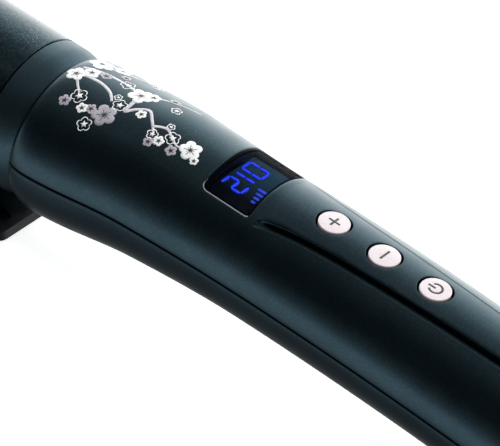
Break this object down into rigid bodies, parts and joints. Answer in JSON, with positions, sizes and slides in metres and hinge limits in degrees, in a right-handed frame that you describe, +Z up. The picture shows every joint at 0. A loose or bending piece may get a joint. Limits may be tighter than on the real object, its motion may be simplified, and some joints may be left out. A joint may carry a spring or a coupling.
{
  "type": "curling iron",
  "caption": "Hair curling iron with a round heated barrel, a sprung clip with thumb lever, an arched handle with display and buttons, and a swivel cord outlet.",
  "frame": {"origin": "centre of the part's box in plan, on the surface it rests on", "axes": "+X along the iron towards the handle's end, +Z up, the barrel raised and the display facing up"},
  "size_m": [0.3276, 0.0332, 0.0495],
  "materials": {
    "pearl_coating": "satin",
    "black_resin": "satin",
    "slate_resin": "satin",
    "handle_lacquer": "satin",
    "handle_resin": "satin",
    "window_gloss": "gloss",
    "lcd_glass": "gloss",
    "clear_resin": "gloss",
    "button_cap": "satin",
    "switch_resin": "satin",
    "circuit_board": "satin",
    "capacitor_film": "satin",
    "capacitor_can": "gloss",
    "heater_ceramic": "matte",
    "bare_aluminium": "satin",
    "sensor_glass": "gloss",
    "steel": "satin",
    "gland_rubber": "satin",
    "brass": "satin",
    "lead_sleeve": "satin"
  },
  "bodies": {
    "handle": {"barrel_tube": "pearl_coating", "cool_tip": "black_resin", "collar_ring": "slate_resin", "heater_plate": "heater_ceramic", "heat_spreader_upper": "bare_aluminium", "heat_spreader_lower": "bare_aluminium", "temperature_sensor": "sensor_glass", "thermal_fuse": "bare_aluminium", "upper_shell": "handle_lacquer", "lower_shell": "handle_resin", "barrel_carrier": "heater_ceramic", "display_window": "window_gloss", "front_screw": "steel", "rear_screw": "steel", "display_panel": "lcd_glass", "backlight_guide": "clear_resin", "plus_switch": "switch_resin", "minus_switch": "switch_resin", "power_switch": "switch_resin", "control_board": "circuit_board", "power_board": "circuit_board", "filter_capacitor": "capacitor_film", "smoothing_capacitor": "capacitor_can", "triac": "switch_resin", "hinge_bracket": "steel", "pivot_pin": "steel", "torsion_spring": "steel", "end_cap": "handle_resin", "live_contact_brush": "brass", "neutral_contact_brush": "brass", "live_heater_lead": "lead_sleeve", "neutral_heater_lead": "lead_sleeve"},
    "clip": {"clip_plate": "pearl_coating", "thumb_lever": "black_resin", "front_rivet": "steel", "rear_rivet": "steel"},
    "plus_cap": {"plus_button": "button_cap"},
    "minus_cap": {"minus_button": "button_cap"},
    "power_cap": {"power_button": "button_cap"},
    "swivel": {"swivel_gland": "gland_rubber", "live_contact_ring": "brass", "neutral_contact_ring": "brass"}
  },
  "joints": [
    {"name": "clip_hinge", "type": "hinge", "parent": "handle", "child": "clip", "pos_m": [-0.02572, 0, 0.00568], "axis": [0, -1, 0], "range_deg": [0, 26], "stiffness_Nm_per_rad": 0.2, "springref_deg": -45.84, "deforming": ["torsion_spring"]},
    {"name": "plus_press", "type": "slide", "parent": "handle", "child": "plus_cap", "axis": [-0.0902, 0, -0.9959], "range_m": [0, 0.0005], "stiffness_N_per_m": 600, "springref_m": -0.001},
    {"name": "minus_press", "type": "slide", "parent": "handle", "child": "minus_cap", "axis": [-0.0902, 0, -0.9959], "range_m": [0, 0.0005], "stiffness_N_per_m": 600, "springref_m": -0.001},
    {"name": "power_press", "type": "slide", "parent": "handle", "child": "power_cap", "axis": [-0.0902, 0, -0.9959], "range_m": [0, 0.0005], "stiffness_N_per_m": 600, "springref_m": -0.001},
    {"name": "cord_swivel", "type": "hinge", "parent": "handle", "child": "swivel", "pos_m": [0.13711, 0, 0.01477], "axis": [0.9921, 0, -0.1254], "continuous": true}
  ]
}
